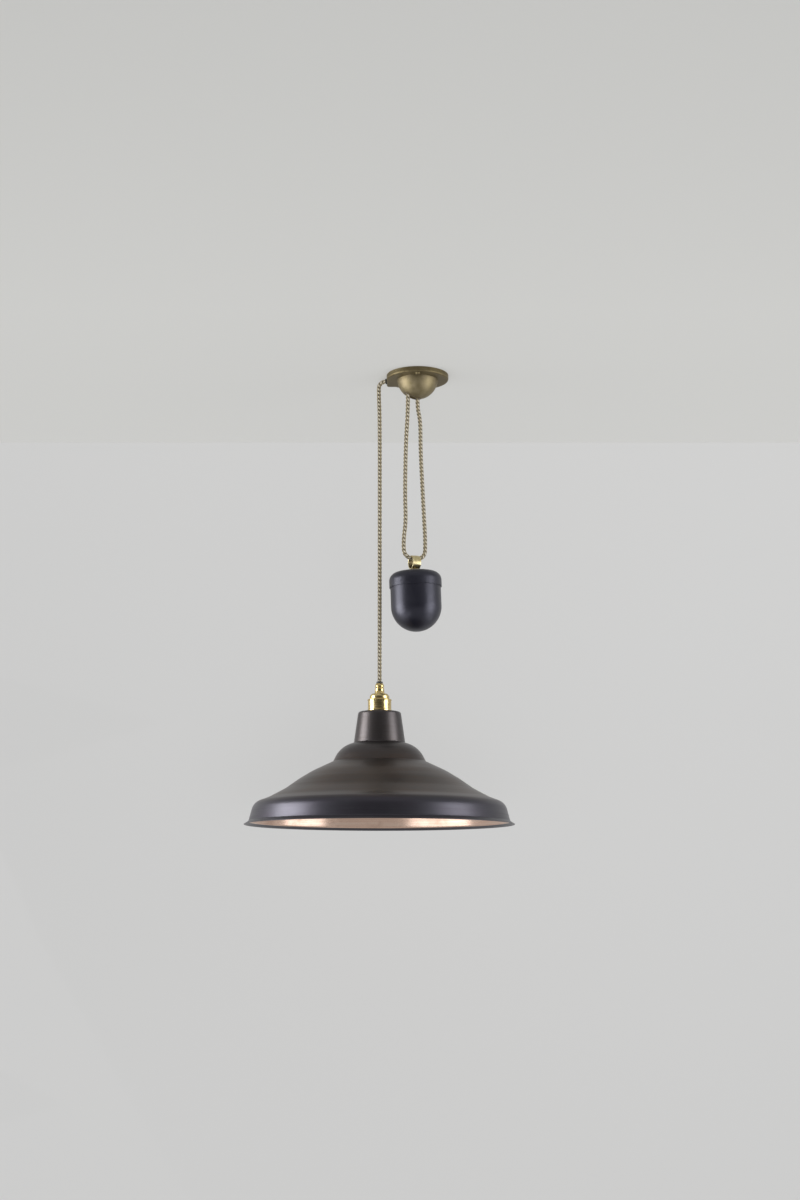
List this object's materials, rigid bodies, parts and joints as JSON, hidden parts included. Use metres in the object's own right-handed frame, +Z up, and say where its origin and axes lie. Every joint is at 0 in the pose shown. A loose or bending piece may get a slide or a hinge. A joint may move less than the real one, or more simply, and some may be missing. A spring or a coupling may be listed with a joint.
{
  "type": "rise and fall pendant",
  "caption": "Ceiling pendant whose wide spun shade rises and falls on a braided cord over a sheave, balanced by a hanging weight.",
  "frame": {"origin": "middle of the ceiling plate, on the ceiling", "axes": "+Z up into the ceiling, +Y away from the viewer, +X to the viewer's right"},
  "size_m": [0.4328, 0.4327, 0.7527],
  "materials": {
    "aged_brass": "satin cast brass, aged",
    "polished_brass": "polished, lacquered",
    "eye_brass": "satin brass, aged",
    "shade_patina": "spun copper, dark bronze patina outside, bare copper inside",
    "weight_iron": "cast iron, dark graphite paint, satin",
    "ballast_iron": "rough cast iron",
    "steel_zinc": "zinc-plated pressed steel",
    "braid": "braided textile, gold and cream",
    "black_moulding": "black moulded",
    "cream_moulding": "cream moulded insulating",
    "spring_steel": "bright spring wire"
  },
  "bodies": {
    "ceiling": {"ceiling_plate": "aged_brass", "dome_cover": "aged_brass", "slot_liner": "black_moulding", "fixing_screws": "aged_brass", "pulley_bracket": "steel_zinc", "bracket_screws": "steel_zinc", "sheave_axle": "steel_zinc", "exit_bush": "black_moulding", "cord_over_sheave": "braid", "cord_tail": "braid", "cord_clamp": "steel_zinc", "clamp_screws": "steel_zinc", "terminal_block": "cream_moulding", "terminal_screws": "polished_brass", "lamp_cord_bend": "braid", "lamp_cord": "braid", "weight_cord_left": "braid", "weight_cord_right": "braid"},
    "sheave": {"sheave": "black_moulding"},
    "weight": {"weight_cord_turn": "braid", "weight_eye": "eye_brass", "eye_nut": "eye_brass", "weight_lid": "weight_iron", "weight_body": "weight_iron", "ballast": "ballast_iron"},
    "lamp": {"grip_bush": "black_moulding", "grip_nut": "polished_brass", "cord_in_grip": "braid", "holder_cap": "polished_brass", "holder_collar": "polished_brass", "bayonet_barrel": "polished_brass", "holder_insert": "cream_moulding", "holder_posts": "polished_brass", "plunger_spring_left": "spring_steel", "plunger_spring_right": "spring_steel", "shade_nut": "polished_brass", "shade": "shade_patina"},
    "plunger_left": {"plunger_left": "polished_brass"},
    "plunger_right": {"plunger_right": "polished_brass"}
  },
  "joints": [
    {"name": "lamp_travel", "type": "slide", "parent": "ceiling", "child": "lamp", "axis": [0, 0, -1], "range_m": [-0.065, 0.4], "deforming": ["lamp_cord"]},
    {"name": "weight_travel", "type": "slide", "parent": "ceiling", "child": "weight", "axis": [0, 0, 1], "range_m": [-0.0326, 0.2005], "deforming": ["weight_cord_left", "weight_cord_right"]},
    {"name": "sheave_spin", "type": "hinge", "parent": "ceiling", "child": "sheave", "pos_m": [-0.01129, 0.00407, -0.0158], "axis": [-0.3387, -0.9409, 0], "continuous": true},
    {"name": "plunger_left_press", "type": "slide", "parent": "lamp", "child": "plunger_left", "axis": [0, 0, 1], "range_m": [0, 0.003], "stiffness_N_per_m": 600, "springref_m": -0.003, "deforming": ["plunger_spring_left"]},
    {"name": "plunger_right_press", "type": "slide", "parent": "lamp", "child": "plunger_right", "axis": [0, 0, 1], "range_m": [0, 0.003], "stiffness_N_per_m": 600, "springref_m": -0.003, "deforming": ["plunger_spring_right"]}
  ],
  "couplings": [
    {"joint": "weight_travel", "follows": "lamp_travel", "ratio": 0.5},
    {"joint": "sheave_spin", "follows": "lamp_travel", "rad_per_m": 83.333}
  ]
}
